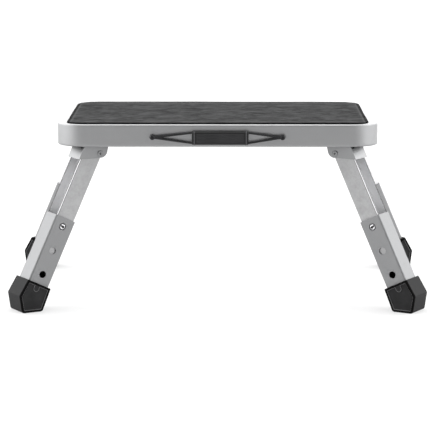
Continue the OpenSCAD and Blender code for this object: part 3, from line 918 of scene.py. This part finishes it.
def build_sky(front, back, sides, far_back):
    """Soft studio surroundings: dim in front, bright behind, brightest at both sides and
    low behind."""
    world = bpy.data.worlds.new("studio")
    bpy.context.scene.world = world
    world.use_nodes = True
    nodes, links = world.node_tree.nodes, world.node_tree.links
    split = nodes.new("ShaderNodeSeparateXYZ")
    links.new(nodes.new("ShaderNodeTexCoord").outputs["Generated"], split.inputs[0])

    def ramp(value, start, end, low, high):
        """A soft step from low to high as the value goes from start to end."""
        node = nodes.new("ShaderNodeMapRange")
        node.interpolation_type = "SMOOTHSTEP"
        for name, number in (("From Min", start), ("From Max", end),
                             ("To Min", low), ("To Max", high)):
            node.inputs[name].default_value = number
        links.new(value, node.inputs["Value"])
        return node.outputs["Result"]

    aside = nodes.new("ShaderNodeMath")
    aside.operation = "ABSOLUTE"
    links.new(split.outputs["X"], aside.inputs[0])
    total = ramp(split.outputs["Y"], -0.9, 0.1, front, back)
    for more in (ramp(aside.outputs["Value"], 0.5, 0.95, 0, sides),
                 ramp(split.outputs["Y"], 0.6, 0.95, 0, far_back)):
        plus = nodes.new("ShaderNodeMath")
        links.new(total, plus.inputs[0])
        links.new(more, plus.inputs[1])
        total = plus.outputs["Value"]
    links.new(total, nodes["Background"].inputs["Strength"])
    nodes["Background"].inputs["Color"].default_value = (1, 1, 1, 1)


def build_camera(settings):
    """A long lens, a little above the deck."""
    data = bpy.data.cameras.new("camera")
    data.lens = settings.lens
    data.clip_end = 100
    camera = bpy.data.objects.new("camera", data)
    bpy.context.scene.collection.objects.link(camera)
    camera.location = settings.camera_place
    camera.rotation_euler = settings.camera_turn
    bpy.context.scene.camera = camera


def build_stage(settings):
    """The floor, the light and the camera."""
    bpy.context.scene.view_settings.view_transform = "Standard"
    build_floor(settings.floor_colour, settings.floor_glow)
    build_sky(settings.front_light, settings.back_light, settings.side_light,
              settings.far_light)
    build_camera(settings)


# ---- settings ----------------------------------------------------------------

def colour_setting(name, description, default):
    """A setting that holds a colour."""
    return bpy.props.FloatVectorProperty(name=name, description=description, default=default,
                                         size=3, min=0, max=1, subtype="COLOR")


def length_setting(name, description, default, low, high):
    """A setting in metres."""
    return bpy.props.FloatProperty(name=name, description=description, default=default,
                                   min=low, max=high, unit="LENGTH", precision=4)


def factor_setting(name, description, default, high=1.0):
    """A plain number from zero up."""
    return bpy.props.FloatProperty(name=name, description=description, default=default,
                                   min=0, max=high, subtype="FACTOR")


class DeckSettings(bpy.types.PropertyGroup):
    """Sizes and colours of the deck, its tread and what is under it."""
    coat_colour: colour_setting("Coat", "Silver coat of the deck", (0.31, 0.312, 0.316))
    coat_roughness: factor_setting("Coat roughness", "How matt the deck's coat is", 0.4)
    edge_radius: length_setting("Edge radius", "Rounding of the deck's top edge",
                                1.1 * MM, 0.001, 0.006)
    rubber_colour: colour_setting("Tread", "Rubber of the tread", (0.030, 0.0303, 0.0307))
    relief: length_setting("Relief", "Depth of the tread's embossing", 0.5 * MM, 0.0, 0.001)
    grain_pitch: length_setting("Grain pitch", "Distance between embossed lines",
                                6 * MM, 0.003, 0.02)
    zinc_colour: colour_setting("Zinc", "Stiffeners, rivets and nuts", (0.55, 0.55, 0.56))


class LegSettings(bpy.types.PropertyGroup):
    """Finishes of the legs, their brackets and buttons."""
    bracket_colour: colour_setting("Brackets", "Silver coat of the brackets", (0.215, 0.217, 0.22))
    washer_colour: colour_setting("Washers", "Nylon washers on the pivots", (0.05, 0.05, 0.052))
    channel_colour: colour_setting("Channels", "Zinc of the upper legs", (0.385, 0.385, 0.39))
    spring_colour: colour_setting("Springs", "Steel of the leaf springs", (0.5, 0.5, 0.5))
    tube_colour: colour_setting("Tubes", "Silver coat of the lower legs", (0.255, 0.257, 0.261))
    chrome_colour: colour_setting("Buttons", "Plating of the snap buttons", (0.82, 0.82, 0.84))
    rubber_colour: colour_setting("Feet", "Rubber of the feet", (0.022, 0.022, 0.0225))


class HandleSettings(bpy.types.PropertyGroup):
    """Sizes and colours of the handle."""
    strand: length_setting("Strand", "Diameter of the strap's strands", 3.2 * MM, 0.002, 0.004)
    strap_colour: colour_setting("Strap", "Rubber of the strap", (0.010, 0.010, 0.011))
    grip_colour: colour_setting("Grip", "Rubber of the grip", (0.018, 0.018, 0.019))
    screw_colour: colour_setting("Screws", "Black oxide of the screws", (0.008, 0.008, 0.009))


class StageSettings(bpy.types.PropertyGroup):
    """Floor, light and camera."""
    floor_colour: colour_setting("Floor", "Plain floor", (0.42, 0.42, 0.42))
    floor_glow: factor_setting("Floor glow", "Light that the floor gives off", 0.48)
    front_light: factor_setting("Front light", "Brightness in front of the step", 0.04, 2.0)
    back_light: factor_setting("Back light", "Brightness behind the step", 1.8, 4.0)
    side_light: factor_setting("Side light", "Extra brightness at both sides", 2.8, 4.0)
    far_light: factor_setting("Far light", "Extra brightness low behind the step", 1.0, 4.0)
    lens: bpy.props.FloatProperty(name="Lens", description="Focal length", default=181.7,
                                  min=20, max=400, unit="CAMERA")
    camera_place: bpy.props.FloatVectorProperty(
        name="Place", description="Where the camera stands", size=3, subtype="TRANSLATION",
        unit="LENGTH", default=(0.0130, -3.3551, 0.6641))
    camera_turn: bpy.props.FloatVectorProperty(
        name="Turn", description="Which way the camera looks", size=3, subtype="EULER",
        unit="ROTATION", default=(math.radians(80.69), 0, math.radians(0.30)))


class StepSettings(bpy.types.PropertyGroup):
    """All the settings of the platform step."""
    deck: bpy.props.PointerProperty(type=DeckSettings)
    legs: bpy.props.PointerProperty(type=LegSettings)
    handle: bpy.props.PointerProperty(type=HandleSettings)
    stage: bpy.props.PointerProperty(type=StageSettings)


# ---- operators ---------------------------------------------------------------

class Build:
    """What the operators share: each runs its builders with one group of the settings."""

    def execute(self, context):
        settings = getattr(context.scene.platform_step, self.group)
        for build in self.builders:
            build(settings)
        return {"FINISHED"}


class PLATFORM_OT_deck(Build, bpy.types.Operator):
    """Build the pressed deck"""
    bl_idname = "platform_step.deck"
    bl_label = "Deck"
    group = "deck"
    builders = (build_deck,)


class PLATFORM_OT_tread(Build, bpy.types.Operator):
    """Build the embossed rubber tread"""
    bl_idname = "platform_step.tread"
    bl_label = "Tread"
    group = "deck"
    builders = (build_tread,)


class PLATFORM_OT_under_deck(Build, bpy.types.Operator):
    """Finish the stiffeners, rivets and nuts"""
    bl_idname = "platform_step.under_deck"
    bl_label = "Under the deck"
    group = "deck"
    builders = (dress_under_deck,)


class PLATFORM_OT_brackets(Build, bpy.types.Operator):
    """Finish the leg brackets and build their pivot rivets"""
    bl_idname = "platform_step.brackets"
    bl_label = "Brackets"
    group = "legs"
    builders = (build_brackets,)


class PLATFORM_OT_upper_legs(Build, bpy.types.Operator):
    """Finish the channels and leaf springs"""
    bl_idname = "platform_step.upper_legs"
    bl_label = "Upper legs"
    group = "legs"
    builders = (build_upper_legs,)


class PLATFORM_OT_lower_legs(Build, bpy.types.Operator):
    """Finish the square tubes"""
    bl_idname = "platform_step.lower_legs"
    bl_label = "Lower legs"
    group = "legs"
    builders = (build_lower_legs,)


class PLATFORM_OT_buttons(Build, bpy.types.Operator):
    """Build the snap buttons"""
    bl_idname = "platform_step.buttons"
    bl_label = "Snap buttons"
    group = "legs"
    builders = (build_buttons,)


class PLATFORM_OT_feet(Build, bpy.types.Operator):
    """Build the rubber feet"""
    bl_idname = "platform_step.feet"
    bl_label = "Feet"
    group = "legs"
    builders = (build_feet,)


class PLATFORM_OT_strap(Build, bpy.types.Operator):
    """Build the handle's strap"""
    bl_idname = "platform_step.strap"
    bl_label = "Strap"
    group = "handle"
    builders = (build_strap,)


class PLATFORM_OT_grip(Build, bpy.types.Operator):
    """Build the handle's grip and its screws"""
    bl_idname = "platform_step.grip"
    bl_label = "Grip and screws"
    group = "handle"
    builders = (build_grip, build_screws)


class PLATFORM_OT_stage(Build, bpy.types.Operator):
    """Set up the floor, the light and the camera"""
    bl_idname = "platform_step.stage"
    bl_label = "Stage"
    group = "stage"
    builders = (build_stage,)


OPERATORS = (PLATFORM_OT_stage, PLATFORM_OT_deck, PLATFORM_OT_tread, PLATFORM_OT_under_deck,
             PLATFORM_OT_brackets, PLATFORM_OT_upper_legs, PLATFORM_OT_lower_legs,
             PLATFORM_OT_buttons, PLATFORM_OT_feet, PLATFORM_OT_strap, PLATFORM_OT_grip)


class PLATFORM_PT_panel(bpy.types.Panel):
    """Buttons for each group of pieces"""
    bl_idname = "PLATFORM_PT_panel"
    bl_label = "Platform Step"
    bl_space_type = "VIEW_3D"
    bl_region_type = "UI"
    bl_category = "Platform Step"

    def draw(self, context):
        for operator in OPERATORS:
            self.layout.operator(operator.bl_idname)


CLASSES = (DeckSettings, LegSettings, HandleSettings, StageSettings, StepSettings,
           *OPERATORS, PLATFORM_PT_panel)


def register():
    """Adds the settings, the operators and the panel."""
    for item in CLASSES:
        bpy.utils.register_class(item)
    bpy.types.Scene.platform_step = bpy.props.PointerProperty(type=StepSettings)


def unregister():
    """Takes them away again."""
    del bpy.types.Scene.platform_step
    for item in reversed(CLASSES):
        bpy.utils.unregister_class(item)


def main():
    """Builds everything."""
    register()
    for operator in OPERATORS:
        group, name = operator.bl_idname.split(".")
        getattr(getattr(bpy.ops, group), name)()


if __name__ == "__main__":
    main()
